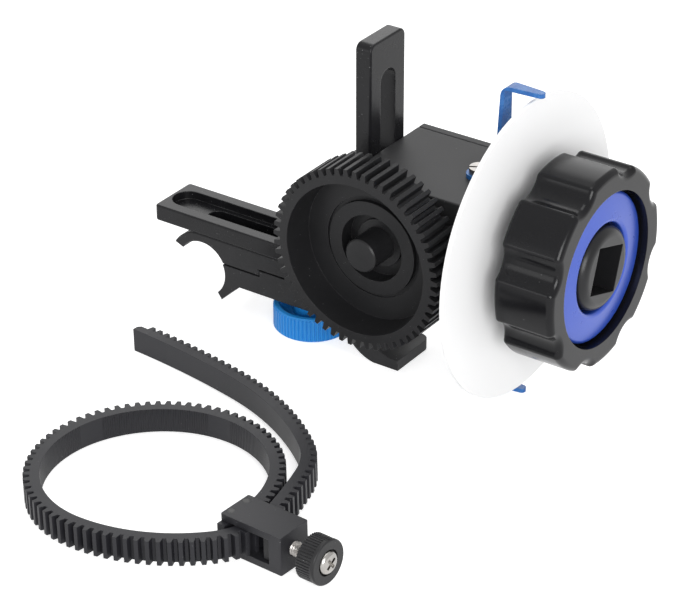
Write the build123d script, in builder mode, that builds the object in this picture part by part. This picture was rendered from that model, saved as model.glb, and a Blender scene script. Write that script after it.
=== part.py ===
from build123d import *
import math
import os

os.makedirs("parts", exist_ok=True)

# Rods and the room both jaws leave for them
rod_r = 7.5
rod_pitch = 60.0
clamp_w = 15.0
half_w = clamp_w / 2

# Running gaps
run_gap = 0.05
hole_gap = 0.1
seam_gap = 0.3

# Upper jaw
floor_z = -10.4
jaw_top_z = 9.8
seam_z = 3.4
step_z = 5.1
step_inset = 18.4
claw_r = 10.2
claw_in_deg = 146
claw_out_deg = 149
jaw_end_reach = 1.5
jaw_edge = 0.3
jaw_end_x = rod_pitch + jaw_end_reach

# Lower jaw
web_z = -2.0
web_end_x = 43.5
hook_flat_x = 54.0
hook_mid_x = 50.4
hook_mid_z = -9.1
hook_top_x = 47.2
hook_top_z = -6.4
low_claw_deg = -48
low_claw_x = 6.3
low_claw_z = -7.4
low_claw_mid_x = 9.3
low_claw_mid_z = -4.4
low_claw_root_x = 12.1
lip_round = 2.5

# Clamp bolt, washer and knob
bolt_x = rod_pitch / 2
bolt_r = 2.5
bolt_head_r = 4.0
bolt_head_h = 2.0
bolt_hex_r = 2.2
bolt_hex_depth = 1.2
bolt_end_z = -8.4
washer_r = 4.8
washer_h = 0.8
knob_r = 10.2
rib_depth = 0.35
knob_top_z = -3.7
knob_dish_r = 8.7
knob_dish_depth = 2.4
knob_boss_r = 5.0
knob_floor = 1.0
knob_edge = 0.5
rib_count = 60

# L bracket
plate_t = 4.5
foot_start_x = -15.0
post_face_x = 52.9
post_top_z = 76.6
foot_round = 1.0
post_round = 2.0
plate_edge = 0.5
groove_w = 8.4
groove_depth = 2.2
groove_start_x = -13.9
groove_end_x = 44.0
foot_slot_w = 5.4
foot_slot_start_x = -2.7
foot_slot_end_x = 40.0
post_slot_w = 6.4
post_slot_low_z = 27.0
post_slot_top_z = 68.2
bend_round = 1.2

# Gearbox
axis_z = 32.2
drive_inset = 10.8
drive_x = post_face_x + drive_inset
box_reach = 23.3
box_end_x = drive_x + box_reach
box_half_y = 16.2
box_half_z = 15.0
box_edge = 0.4
cover_t = 2.5
cover_y = box_half_y - cover_t
bevel_back = 9.2
wheel_bevel_back = 12.2
bevel_gap = 0.4
bevel_side_gap = 0.5
inner_wall = 3.3
cavity_start_x = post_face_x + inner_wall
cavity_end_x = drive_x + wheel_bevel_back + bevel_side_gap
cavity_half_z = 8.6
cavity_front_y = -bevel_back - bevel_gap
bearing_r = 6.5
bearing_w = 4.0
wall_bore_r = 4.9
cover_boss_r = 7.3
cover_boss_l = 6.1
cover_boss_y = cover_y - cover_boss_l
rear_bearing_r = 5.5
screw_inset = 3.4
cover_screw_r = 1.25
cover_head_r = 2.2
cover_head_h = 1.3
cover_screw_depth = 6.0

# Height lock
stud_r = 3.0
stud_depth = 3.0
stud_end_gap = 0.9
lock_washer_t = 1.0
lock_washer_r = 7.5
lock_knob_r = 10.0
lock_knob_t = 7.0
lock_knob_floor = 1.6
lock_rib_count = 40
lock_edge = 1.0

# Pointers
strip_t = 1.1
pointer_tip_gap = 1.6
pointer_foot_l = 10.0
pointer_foot_x = box_end_x - pointer_foot_l
pointer_foot_w = 6.0
pointer_foot_y = -0.9
pointer_top_w = 3.6
pointer_tip_w = 2.2
pointer_over = 3.8
pointer_low_over = 1.3
pointer_bend_r = 2.2
pointer_screw_in = 6.8
pointer_screw_x = box_end_x - pointer_screw_in
pointer_head_r = 2.6
pointer_head_h = 1.5
pointer_shank_r = 1.25
pointer_shank_depth = 5.0
driver_slot_w = 0.7
driver_slot_depth = 0.6

# Shafts and bevel gears
shaft_r = 4.3
shaft_thin_r = 3.0
shaft_rear_gap = 0.3
shaft_rear_y = cover_boss_y + bearing_w - shaft_rear_gap
shaft_edge = 0.4
bevel_module = 0.8
bevel_teeth = 16
bevel_pitch_r = bevel_module * bevel_teeth / 2
bevel_inner = 4.2
bevel_tip_share = 1.1
bevel_root_share = 0.86
bevel_hub_r = 5.2
shaft_tip_gap = 4.5
shaft_tip_x = drive_x + shaft_tip_gap

# Focus gear
gear_module = 0.8
gear_teeth = 57
gear_tip_r = gear_module * (gear_teeth + 2) / 2
gear_depth = 1.8
gear_w = 10.6
gear_gap = 3.4
gear_back_y = -box_half_y - gear_gap
gear_front_y = gear_back_y - gear_w
shaft_sink = 2.5
shaft_end_y = gear_front_y + shaft_sink
dish_front_r = 19.7
dish_floor_r = 19.0
dish_depth = 8.2
gear_boss_r = 12.26
gear_boss_groove = 1.0
gear_boss_groove_depth = 0.5
gear_boss_depth = 7.4
gear_bore_r = 8.7
gear_cup_r = 11.2
gear_cup_gap = 0.5
gear_cup_t = 1.9
gear_cup_y = -box_half_y - gear_cup_gap
gear_cup_floor_y = gear_cup_y - gear_cup_t
ring_w = 0.8
ring_r = 6.2
ring_groove_r = 4.0
tooth_tip_share = 0.19
tooth_root_share = 0.33

# Marking disc and its hub
disc_r = 38.4
disc_t = 1.0
disc_edge = 0.15
disc_bore_r = 6.0
hub_gap = 0.3
hub_l = 4.4
hub_r = 7.5
hub_flange_t = 1.5
hub_flange_r = 14.0
hub_start_x = box_end_x + hub_gap
hub_flange_x = hub_start_x + hub_l
disc_x = hub_flange_x + hub_flange_t
pointer_tip_x = disc_x + pointer_over
pointer_low_tip_x = disc_x + pointer_low_over

# Handwheel
wheel_gap = 5.6
wheel_w = 15.9
wheel_back_x = disc_x + disc_t + wheel_gap
wheel_front_x = wheel_back_x + wheel_w
wheel_r = 25.5
wheel_round = 1.6
lobe_round = 1.3
wheel_back_round = 1.0
flute_r = 5.7
flute_centre_r = 29.15
flute_count = 8
flute_deg = 26.3
rim_r = 19.7
core_sink = 4.8
core_front_x = wheel_front_x - core_sink
core_boss_r = 12.0
pocket_wall = 3.2
core_pocket_x = wheel_back_x + pocket_wall
accent_r = 19.0
accent_rim_t = 2.9
accent_lip_t = 3.7
accent_low_x = core_front_x + accent_rim_t
accent_high_x = core_front_x + accent_lip_t
accent_in_r = 11.3
accent_round = 1.0
socket_r = 10.7
socket_rise = 4.8
socket_front_x = core_front_x + socket_rise
socket_round = 2.5
socket_side = 11.84
socket_turn_deg = -18
socket_floor_t = 1.5
socket_floor_x = core_pocket_x + socket_floor_t
wheel_screw_head_r = 4.2
wheel_screw_head_h = 2.8
wheel_screw_r = 2.0
wheel_screw_l = 11.5
wheel_screw_end_x = socket_floor_x - wheel_screw_l
wheel_screw_hex_r = 2.2
wheel_screw_hex_depth = 1.8

# Gear ring: block, strap and screw
block_x = 81.95
block_y = -92.0
block_turn_deg = -4.3
block_l = 17.7
block_w = 9.75
block_h = 10.0
block_plate = 1.7
block_wall = 3.6
block_edge = 0.4
strap_h = 6.3
band_t = 2.3
strap_tooth_h = 1.6
ring_foot_x = 72.75
ring_lean_deg = 1.46
strap_out_deg = 93.7
strap_out_l = 0.6
strap_ring_r = 28.55
strap_near_less = 1.5
strap_near_deg = 144.6
strap_flat_r = 42.3
tongue_t = 2.2
tongue_inset = 1.3
tab_out = 1.5
tongue_back = 0.5
window_r = 17.9
window_inset = 6.0
window_out = 0.43
window_deg = 99.0
tail_radii = (143.0, 20.5, 79.0, 250.0, 230.0)
tail_degs = (7.2, 32.5, 27.7, 5.5, 2.9)
tail_plain = 2.0
tail_round = 0.8
pin_r = 0.9
pin_spread = 2.6
plate_near = 3.0
plate_thick = 1.8
plate_half_w = 4.0
plate_h = 5.8
plate_seat = 1.0
strap_screw_r = 1.8
thread_pitch = 0.7
thread_depth = 0.3
strap_knob_start = 13.5
strap_knob_l = 5.1
strap_knob_r = 5.6
strap_knob_rib = 0.3
strap_knob_rim = 1.0
strap_rim_round = 0.4
strap_rib_drop = 0.05
strap_knob_bore = 2.9
strap_rib_count = 48
cap_r = 2.9
cap_h = 1.6
cap_sink = 0.8
cap_ring = 0.35
cap_cross_l = 3.2
cap_cross_w = 0.8
cap_cross_depth = 0.9
cap_pin_r = 1.2
cap_pin_l = 1.0

# Planes and axes the pieces share
wheel_half = Plane(origin=(0, 0, axis_z), x_dir=(1, 0, 0), z_dir=(0, -1, 0))
wheel_axis = Axis((0, 0, axis_z), (1, 0, 0))
drive_half = Plane(origin=(drive_x, 0, axis_z), x_dir=(0, 1, 0), z_dir=(1, 0, 0))
drive_axis = Axis((drive_x, 0, axis_z), (0, 1, 0))
bolt_half = Plane(origin=(bolt_x, 0, 0), x_dir=(1, 0, 0), z_dir=(0, -1, 0))
bolt_axis = Axis((bolt_x, 0, 0), (0, 0, 1))
lean_cos = math.cos(math.radians(ring_lean_deg))
lean_sin = math.sin(math.radians(ring_lean_deg))
turn_cos = math.cos(math.radians(block_turn_deg))
turn_sin = math.sin(math.radians(block_turn_deg))
ring_plane = Plane(origin=(ring_foot_x - ring_foot_x * lean_cos, 0, floor_z - ring_foot_x * lean_sin),
                   x_dir=(lean_cos, 0, lean_sin), z_dir=(-lean_sin, 0, lean_cos))
block_dir = (turn_cos * lean_cos, turn_sin, turn_cos * lean_sin)
block_side = (turn_sin * lean_cos, -turn_cos, turn_sin * lean_sin)
block_plane = Plane(origin=ring_plane.from_local_coords((block_x, block_y, 0)), x_dir=block_dir,
                    z_dir=ring_plane.z_dir)
block_up = Axis(block_plane.origin, block_plane.z_dir)


def polar(radius, deg):
    """Point at a radius and an angle."""
    return (radius * math.cos(math.radians(deg)), radius * math.sin(math.radians(deg)))


def ribbed(tip_r, root_r, count, tip_share, root_share, first_deg):
    """Corner points of a round outline with straight teeth or ribs."""
    pitch_deg = 360 / count
    corners = []
    for tooth in range(count):
        centre_deg = first_deg + tooth * pitch_deg
        corners.append(polar(root_r, centre_deg - root_share * pitch_deg))
        corners.append(polar(tip_r, centre_deg - tip_share * pitch_deg))
        corners.append(polar(tip_r, centre_deg + tip_share * pitch_deg))
        corners.append(polar(root_r, centre_deg + root_share * pitch_deg))
    return corners


def wheel_plane(x):
    """Plane square to the handwheel's axis."""
    return Plane(origin=(x, 0, axis_z), x_dir=(0, 1, 0), z_dir=(1, 0, 0))


def drive_plane(y):
    """Plane square to the drive shaft, facing the front."""
    return Plane(origin=(drive_x, y, axis_z), x_dir=(1, 0, 0), z_dir=(0, -1, 0))


# Upper jaw
claw_top_x = -math.sqrt(claw_r * claw_r - jaw_top_z * jaw_top_z)
claw_top_deg = math.degrees(math.atan2(jaw_top_z, claw_top_x))
seam_deg = math.degrees(math.asin(seam_z / rod_r))
end_deg = math.degrees(math.acos(jaw_end_reach / rod_r))
end_z = rod_r * math.sin(math.radians(end_deg))
seam_x = rod_r * math.cos(math.radians(seam_deg))
with BuildPart() as upper_jaw:
    with BuildSketch(Plane.XZ):
        with BuildLine():
            Line(polar(rod_r, claw_in_deg), polar(claw_r, claw_out_deg))
            CenterArc((0, 0), claw_r, claw_out_deg, claw_top_deg - claw_out_deg)
            Polyline((claw_top_x, jaw_top_z), (jaw_end_x, jaw_top_z), (jaw_end_x, end_z))
            CenterArc((rod_pitch, 0), rod_r, end_deg, 180 - seam_deg - end_deg)
            Polyline((rod_pitch - seam_x, seam_z), (rod_pitch - step_inset, seam_z),
                     (rod_pitch - step_inset, step_z), (step_inset, step_z),
                     (step_inset, seam_z), (seam_x, seam_z))
            CenterArc((0, 0), rod_r, seam_deg, claw_in_deg - seam_deg)
        make_face()
    extrude(amount=half_w, both=True)
    chamfer(faces().filter_by(Axis.Y).edges(), jaw_edge)
    with Locations((bolt_x, 0, 0)):
        Cylinder(bolt_r + hole_gap, 4 * jaw_top_z, mode=Mode.SUBTRACT)
upper_jaw.part.label = "upper_jaw"
export_step(upper_jaw.part, "parts/upper_jaw.step")

# Lower jaw
low_seam_z = seam_z - seam_gap
low_step_z = step_z - seam_gap
low_inset = step_inset + seam_gap
low_deg = math.degrees(math.asin(low_seam_z / rod_r))
low_x = rod_r * math.cos(math.radians(low_deg))
with BuildPart() as lower_jaw:
    with BuildSketch(Plane.XZ):
        with BuildLine():
            Polyline((low_x, low_seam_z), (low_inset, low_seam_z), (low_inset, low_step_z),
                     (rod_pitch - low_inset, low_step_z), (rod_pitch - low_inset, low_seam_z),
                     (rod_pitch - low_x, low_seam_z))
            CenterArc((rod_pitch, 0), rod_r, 180 - low_deg, 90 + low_deg)
            Polyline((rod_pitch, -rod_r), (jaw_end_x, -rod_r), (jaw_end_x, floor_z),
                     (hook_flat_x, floor_z))
            ThreePointArc((hook_flat_x, floor_z), (hook_mid_x, hook_mid_z), (hook_top_x, hook_top_z))
            Polyline((hook_top_x, hook_top_z), (web_end_x, web_z), (low_claw_root_x, web_z))
            ThreePointArc((low_claw_root_x, web_z), (low_claw_mid_x, low_claw_mid_z),
                          (low_claw_x, low_claw_z))
            Line((low_claw_x, low_claw_z), polar(rod_r, low_claw_deg))
            CenterArc((0, 0), rod_r, low_claw_deg, low_deg - low_claw_deg)
        make_face()
    extrude(amount=half_w, both=True)
    lip_edges = edges().filter_by(Axis.Z).group_by(Axis.X)[-1]
    fillet(lip_edges.group_by(Axis.Y)[-1], lip_round)
    with Locations((bolt_x, 0, 0)):
        Cylinder(bolt_r + hole_gap, 4 * jaw_top_z, mode=Mode.SUBTRACT)
lower_jaw.part.label = "lower_jaw"
export_step(lower_jaw.part, "parts/lower_jaw.step")

# Clamp bolt
foot_top_z = jaw_top_z + plate_t
groove_z = foot_top_z - groove_depth
with BuildPart() as clamp_bolt:
    with BuildSketch(Plane.XY.offset(groove_z)):
        with Locations((bolt_x, 0)):
            Circle(bolt_head_r)
    extrude(amount=bolt_head_h)
    with BuildSketch(Plane.XY.offset(bolt_end_z)):
        with Locations((bolt_x, 0)):
            Circle(bolt_r)
    extrude(amount=groove_z - bolt_end_z)
    with BuildSketch(Plane.XY.offset(groove_z + bolt_head_h - bolt_hex_depth)):
        with Locations((bolt_x, 0)):
            RegularPolygon(bolt_hex_r, 6)
    extrude(amount=bolt_hex_depth, mode=Mode.SUBTRACT)
clamp_bolt.part.label = "clamp_bolt"
export_step(clamp_bolt.part, "parts/clamp_bolt.step")

# Washer and knob under the jaws
with BuildPart() as clamp_washer:
    with BuildSketch(Plane.XY.offset(web_z - washer_h)):
        with Locations((bolt_x, 0)):
            Circle(washer_r)
            Circle(bolt_r + hole_gap, mode=Mode.SUBTRACT)
    extrude(amount=washer_h)
clamp_washer.part.label = "clamp_washer"
export_step(clamp_washer.part, "parts/clamp_washer.step")

knob_boss_z = web_z - washer_h
knob_dish_z = knob_top_z - knob_dish_depth
with BuildPart() as clamp_knob:
    with BuildSketch(bolt_half):
        Polygon((0, floor_z), (knob_r - knob_edge, floor_z), (knob_r, floor_z + knob_edge),
                (knob_r, knob_top_z - knob_edge), (knob_r - knob_edge, knob_top_z),
                (knob_dish_r, knob_top_z), (knob_dish_r, knob_dish_z), (knob_boss_r, knob_dish_z),
                (knob_boss_r, knob_boss_z), (0, knob_boss_z), align=None)
    revolve(axis=bolt_axis)
    with BuildSketch(Plane.XY.offset(floor_z)):
        with Locations((bolt_x, 0)):
            Polygon(*ribbed(knob_r, knob_r - rib_depth, rib_count, 0.2, 0.36, 0), align=None)
    extrude(amount=knob_boss_z - floor_z, mode=Mode.INTERSECT)
    with BuildSketch(Plane.XY.offset(floor_z + knob_floor)):
        with Locations((bolt_x, 0)):
            Circle(bolt_r + run_gap)
    extrude(amount=knob_boss_z - floor_z - knob_floor, mode=Mode.SUBTRACT)
clamp_knob.part.label = "clamp_knob"
export_step(clamp_knob.part, "parts/clamp_knob.step")

# L bracket
post_back_x = post_face_x - plate_t
with BuildPart() as l_bracket:
    with BuildSketch(Plane.XZ):
        Polygon((foot_start_x, jaw_top_z), (post_face_x, jaw_top_z), (post_face_x, post_top_z),
                (post_back_x, post_top_z), (post_back_x, foot_top_z), (foot_start_x, foot_top_z),
                align=None)
    extrude(amount=half_w, both=True)
    fillet(edges().filter_by(Axis.Z).group_by(Axis.X)[0], foot_round)
    fillet(edges().filter_by(Axis.X).group_by(Axis.Z)[-1], post_round)
    fillet(edges().filter_by(Axis.Y).group_by(Axis.X)[-1].group_by(Axis.Z)[0], bend_round)
    side_edges = faces().filter_by(Axis.Y).edges()
    fillet(side_edges + faces().filter_by(Axis.Z).sort_by(Axis.Z)[-1].edges()
           + faces().filter_by(Axis.X).sort_by(Axis.X)[0].edges(), plate_edge)
    with BuildSketch(Plane.XY.offset(groove_z)):
        with Locations(((groove_start_x + groove_end_x) / 2, 0)):
            SlotOverall(groove_end_x - groove_start_x, groove_w)
    extrude(amount=groove_depth, mode=Mode.SUBTRACT)
    with BuildSketch(Plane.XY.offset(jaw_top_z)):
        with Locations(((foot_slot_start_x + foot_slot_end_x) / 2, 0)):
            SlotOverall(foot_slot_end_x - foot_slot_start_x, foot_slot_w)
    extrude(amount=plate_t, mode=Mode.SUBTRACT)
    with BuildSketch(Plane(origin=(post_back_x, 0, (post_slot_low_z + post_slot_top_z) / 2),
                           x_dir=(0, 1, 0), z_dir=(1, 0, 0))):
        SlotOverall(post_slot_top_z - post_slot_low_z, post_slot_w, rotation=90)
    extrude(amount=plate_t, mode=Mode.SUBTRACT)
l_bracket.part.label = "l_bracket"
export_step(l_bracket.part, "parts/l_bracket.step")

# Gearbox block
box_l = box_end_x - post_face_x
box_mid_x = (box_end_x + post_face_x) / 2
screw_spots = [(x, z) for x in (post_face_x + screw_inset, box_end_x - screw_inset)
               for z in (screw_inset - box_half_z, box_half_z - screw_inset)]
back_plane = Plane(origin=(0, cover_y, axis_z), x_dir=(1, 0, 0), z_dir=(0, -1, 0))
outer_plane = Plane(origin=(0, box_half_y, axis_z), x_dir=(1, 0, 0), z_dir=(0, -1, 0))
with BuildPart() as gearbox_housing:
    with BuildSketch(back_plane):
        with Locations((box_mid_x, 0)):
            Rectangle(box_l, 2 * box_half_z)
    extrude(amount=cover_y + box_half_y)
    fillet(edges(), box_edge)
    with BuildSketch(back_plane):
        with Locations(((cavity_start_x + cavity_end_x) / 2, 0)):
            Rectangle(cavity_end_x - cavity_start_x, 2 * cavity_half_z)
    extrude(amount=cover_y - cavity_front_y, mode=Mode.SUBTRACT)
    with BuildSketch(drive_plane(cavity_front_y)):
        Circle(wall_bore_r)
    extrude(amount=box_half_y + cavity_front_y, mode=Mode.SUBTRACT)
    with BuildSketch(drive_plane(bearing_w - box_half_y)):
        Circle(bearing_r)
    extrude(amount=bearing_w, mode=Mode.SUBTRACT)
    with BuildSketch(wheel_plane(cavity_end_x)):
        Circle(wall_bore_r)
    extrude(amount=box_end_x - cavity_end_x, mode=Mode.SUBTRACT)
    with BuildSketch(wheel_plane(cavity_end_x), wheel_plane(box_end_x - bearing_w)):
        Circle(bearing_r)
    extrude(amount=bearing_w, mode=Mode.SUBTRACT)
    with BuildSketch(wheel_plane(post_face_x)):
        Circle(stud_r)
    extrude(amount=stud_depth, mode=Mode.SUBTRACT)
    with BuildSketch(back_plane):
        with Locations(*screw_spots):
            Circle(cover_screw_r)
    extrude(amount=cover_screw_depth, mode=Mode.SUBTRACT)
    for side in (-1, 1):
        with BuildSketch(Plane(origin=(pointer_screw_x, pointer_foot_y, axis_z + side * box_half_z),
                               z_dir=(0, 0, -side))):
            Circle(pointer_shank_r)
        extrude(amount=pointer_shank_depth, mode=Mode.SUBTRACT)
gearbox_housing.part.label = "gearbox_housing"
export_step(gearbox_housing.part, "parts/gearbox_housing.step")

with BuildPart() as gearbox_cover:
    with BuildSketch(outer_plane):
        with Locations((box_mid_x, 0)):
            Rectangle(box_l, 2 * box_half_z)
    extrude(amount=cover_t)
    fillet(edges(), box_edge)
    with BuildSketch(drive_plane(cover_y)):
        Circle(cover_boss_r)
    extrude(amount=cover_y - cover_boss_y)
    with BuildSketch(drive_plane(cover_boss_y + bearing_w)):
        Circle(rear_bearing_r)
    extrude(amount=bearing_w, mode=Mode.SUBTRACT)
    with BuildSketch(outer_plane):
        with Locations(*screw_spots):
            Circle(cover_screw_r + hole_gap)
    extrude(amount=cover_t, mode=Mode.SUBTRACT)
    with BuildSketch(outer_plane):
        with Locations(*screw_spots):
            Circle(cover_head_r + hole_gap)
    extrude(amount=cover_head_h, mode=Mode.SUBTRACT)
gearbox_cover.part.label = "gearbox_cover"
export_step(gearbox_cover.part, "parts/gearbox_cover.step")

with BuildPart() as cover_screws:
    with BuildSketch(outer_plane):
        with Locations(*screw_spots):
            Circle(cover_head_r)
    extrude(amount=cover_head_h)
    with BuildSketch(outer_plane):
        with Locations(*screw_spots):
            Circle(cover_screw_r)
    extrude(amount=cover_t + cover_screw_depth)
    with BuildSketch(outer_plane):
        with Locations(*screw_spots):
            Rectangle(2 * cover_head_r, driver_slot_w)
    extrude(amount=driver_slot_depth, mode=Mode.SUBTRACT)
cover_screws.part.label = "cover_screws"
export_step(cover_screws.part, "parts/cover_screws.step")

# Bearings
with BuildPart() as drive_bearing_front:
    with BuildSketch(drive_plane(bearing_w - box_half_y)):
        Circle(bearing_r)
        Circle(shaft_r + run_gap, mode=Mode.SUBTRACT)
    extrude(amount=bearing_w)
drive_bearing_front.part.label = "drive_bearing_front"
export_step(drive_bearing_front.part, "parts/drive_bearing_front.step")

with BuildPart() as drive_bearing_rear:
    with BuildSketch(drive_plane(cover_boss_y + bearing_w)):
        Circle(rear_bearing_r)
        Circle(shaft_thin_r + run_gap, mode=Mode.SUBTRACT)
    extrude(amount=bearing_w)
drive_bearing_rear.part.label = "drive_bearing_rear"
export_step(drive_bearing_rear.part, "parts/drive_bearing_rear.step")

with BuildPart() as handwheel_bearing_inner:
    with BuildSketch(wheel_plane(cavity_end_x)):
        Circle(bearing_r)
        Circle(shaft_r + run_gap, mode=Mode.SUBTRACT)
    extrude(amount=bearing_w)
handwheel_bearing_inner.part.label = "handwheel_bearing_inner"
export_step(handwheel_bearing_inner.part, "parts/handwheel_bearing_inner.step")

with BuildPart() as handwheel_bearing_outer:
    with BuildSketch(wheel_plane(box_end_x - bearing_w)):
        Circle(bearing_r)
        Circle(shaft_r + run_gap, mode=Mode.SUBTRACT)
    extrude(amount=bearing_w)
handwheel_bearing_outer.part.label = "handwheel_bearing_outer"
export_step(handwheel_bearing_outer.part, "parts/handwheel_bearing_outer.step")

# Height lock
lock_washer_x = post_back_x - lock_washer_t
lock_knob_x = lock_washer_x - lock_knob_t
stud_end_x = lock_knob_x + lock_knob_floor + stud_end_gap
with BuildPart() as height_stud:
    with BuildSketch(wheel_plane(stud_end_x)):
        Circle(stud_r)
    extrude(amount=post_face_x + stud_depth - stud_end_x)
    chamfer(edges().group_by(Axis.X)[0], shaft_edge)
height_stud.part.label = "height_stud"
export_step(height_stud.part, "parts/height_stud.step")

with BuildPart() as height_washer:
    with BuildSketch(wheel_plane(lock_washer_x)):
        Circle(lock_washer_r)
        Circle(stud_r + hole_gap, mode=Mode.SUBTRACT)
    extrude(amount=lock_washer_t)
height_washer.part.label = "height_washer"
export_step(height_washer.part, "parts/height_washer.step")

with BuildPart() as height_knob:
    with BuildSketch(wheel_half):
        Polygon((lock_knob_x, 0), (lock_knob_x, lock_knob_r - lock_edge),
                (lock_knob_x + lock_edge, lock_knob_r), (lock_washer_x - lock_edge, lock_knob_r),
                (lock_washer_x, lock_knob_r - lock_edge), (lock_washer_x, 0), align=None)
    revolve(axis=wheel_axis)
    with BuildSketch(wheel_plane(lock_knob_x)):
        Polygon(*ribbed(lock_knob_r, lock_knob_r - rib_depth, lock_rib_count, 0.22, 0.36, 0),
                align=None)
    extrude(amount=lock_knob_t, mode=Mode.INTERSECT)
    with BuildSketch(wheel_plane(lock_knob_x + lock_knob_floor)):
        Circle(stud_r + run_gap)
    extrude(amount=lock_knob_t - lock_knob_floor, mode=Mode.SUBTRACT)
height_knob.part.label = "height_knob"
export_step(height_knob.part, "parts/height_knob.step")


def pointer_strip(side, tip_x):
    """Bent strip with its foot on one face of the gearbox and its tip past the disc's rim."""
    face = side * box_half_z
    arm = side * (disc_r + pointer_tip_gap)
    over = side * strip_t
    mid_x = box_end_x - strip_t
    flat = Plane(origin=(0, 0, axis_z + face), x_dir=(1, 0, 0), z_dir=(0, 0, 1))
    side_view = Plane(origin=(mid_x, 0, axis_z), x_dir=(0, 1, 0), z_dir=(1, 0, 0))
    foot_low_y = pointer_foot_y - pointer_foot_w / 2
    foot_high_y = pointer_foot_y + pointer_foot_w / 2
    with BuildPart() as outline:
        with BuildSketch(flat):
            with Locations(((pointer_foot_x + box_end_x) / 2, pointer_foot_y)):
                Rectangle(box_end_x - pointer_foot_x, pointer_foot_w)
        extrude(amount=over)
        fillet(outline.edges().filter_by(Axis.Z).group_by(Axis.X)[0], pointer_foot_w * 0.45)
        with BuildSketch(side_view):
            Polygon((foot_low_y, face), (foot_high_y, face), (foot_high_y, face + over),
                    (pointer_top_w / 2, arm - over), (pointer_top_w / 2, arm + over),
                    (-pointer_top_w / 2, arm + over), (-pointer_top_w / 2, arm - over),
                    (foot_low_y, face + over), align=None)
        extrude(amount=strip_t)
        with BuildSketch(Plane(origin=(0, 0, axis_z + arm), x_dir=(1, 0, 0), z_dir=(0, 0, 1))):
            Polygon((mid_x, -pointer_top_w / 2), (box_end_x, -pointer_top_w / 2),
                    (tip_x - pointer_tip_w / 2, -pointer_tip_w / 2),
                    (tip_x - pointer_tip_w / 2, pointer_tip_w / 2),
                    (box_end_x, pointer_top_w / 2), (mid_x, pointer_top_w / 2), align=None)
            with Locations((tip_x - pointer_tip_w / 2, 0)):
                Circle(pointer_tip_w / 2)
        extrude(amount=over)
    with BuildPart() as strip:
        with BuildSketch(Plane(origin=(0, 0, axis_z), x_dir=(1, 0, 0), z_dir=(0, -1, 0))) as bent:
            with BuildLine():
                FilletPolyline((pointer_foot_x, face + over / 2), (mid_x + strip_t / 2, face + over / 2),
                               (mid_x + strip_t / 2, arm + over / 2), (tip_x, arm + over / 2),
                               radius=pointer_bend_r)
                offset(amount=strip_t / 2, side=Side.BOTH)
            make_face()
        extrude(amount=pointer_foot_w, both=True)
        add(outline.part, mode=Mode.INTERSECT)
        with BuildSketch(Plane(origin=(pointer_screw_x, pointer_foot_y, axis_z + face),
                               z_dir=(0, 0, side))):
            Circle(pointer_shank_r + hole_gap)
        extrude(amount=strip_t, mode=Mode.SUBTRACT)
    return strip.part


with BuildPart() as pointer_upper:
    add(pointer_strip(1, pointer_tip_x))
pointer_upper.part.label = "pointer_upper"
export_step(pointer_upper.part, "parts/pointer_upper.step")

with BuildPart() as pointer_lower:
    add(pointer_strip(-1, pointer_low_tip_x))
pointer_lower.part.label = "pointer_lower"
export_step(pointer_lower.part, "parts/pointer_lower.step")

with BuildPart() as pointer_screws:
    for side in (-1, 1):
        screw_face = axis_z + side * (box_half_z + strip_t)
        with BuildSketch(Plane(origin=(pointer_screw_x, pointer_foot_y, screw_face),
                               x_dir=(1, 0, 0), z_dir=(0, 0, side))):
            Circle(pointer_head_r)
        extrude(amount=pointer_head_h)
        with BuildSketch(Plane(origin=(pointer_screw_x, pointer_foot_y, screw_face),
                               x_dir=(1, 0, 0), z_dir=(0, 0, -side))):
            Circle(pointer_shank_r)
        extrude(amount=strip_t + pointer_shank_depth)
        slot_face = screw_face + side * (pointer_head_h - driver_slot_depth)
        with BuildSketch(Plane(origin=(pointer_screw_x, pointer_foot_y, slot_face),
                               x_dir=(1, 0, 0), z_dir=(0, 0, side))):
            Rectangle(2 * pointer_head_r, driver_slot_w, rotation=30)
        extrude(amount=driver_slot_depth, mode=Mode.SUBTRACT)
pointer_screws.part.label = "pointer_screws"
export_step(pointer_screws.part, "parts/pointer_screws.step")

# Drive shaft and its bevel gear
with BuildPart() as drive_shaft:
    with BuildSketch(drive_half):
        Polygon((shaft_end_y, 0), (shaft_end_y, shaft_r - shaft_edge),
                (shaft_end_y + shaft_edge, shaft_r), (gear_cup_floor_y - ring_w, shaft_r),
                (gear_cup_floor_y - ring_w, ring_groove_r), (gear_cup_floor_y, ring_groove_r),
                (gear_cup_floor_y, shaft_r), (-bevel_back, shaft_r), (-bevel_back, shaft_thin_r),
                (shaft_rear_y, shaft_thin_r), (shaft_rear_y, 0), align=None)
    revolve(axis=drive_axis)
drive_shaft.part.label = "drive_shaft"
export_step(drive_shaft.part, "parts/drive_shaft.step")

bevel_scale = bevel_inner / bevel_pitch_r
bevel_tip_r = bevel_tip_share * bevel_pitch_r
bevel_root_r = bevel_root_share * bevel_pitch_r
bevel_shares = (0.12, 0.33)
half_tooth_deg = 180 / bevel_teeth
with BuildPart() as drive_bevel:
    with BuildSketch(drive_plane(-bevel_pitch_r)):
        Polygon(*ribbed(bevel_tip_r, bevel_root_r, bevel_teeth, *bevel_shares, 0), align=None)
    with BuildSketch(drive_plane(-bevel_inner)):
        Polygon(*ribbed(bevel_tip_r * bevel_scale, bevel_root_r * bevel_scale, bevel_teeth,
                        *bevel_shares, 0), align=None)
    loft(ruled=True)
    with BuildSketch(drive_plane(-bevel_pitch_r)):
        Circle(bevel_hub_r)
    extrude(amount=bevel_back - bevel_pitch_r)
    with BuildSketch(drive_plane(0)):
        Circle(shaft_thin_r)
    extrude(amount=bevel_back, mode=Mode.SUBTRACT)
drive_bevel.part.label = "drive_bevel"
export_step(drive_bevel.part, "parts/drive_bevel.step")

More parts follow.
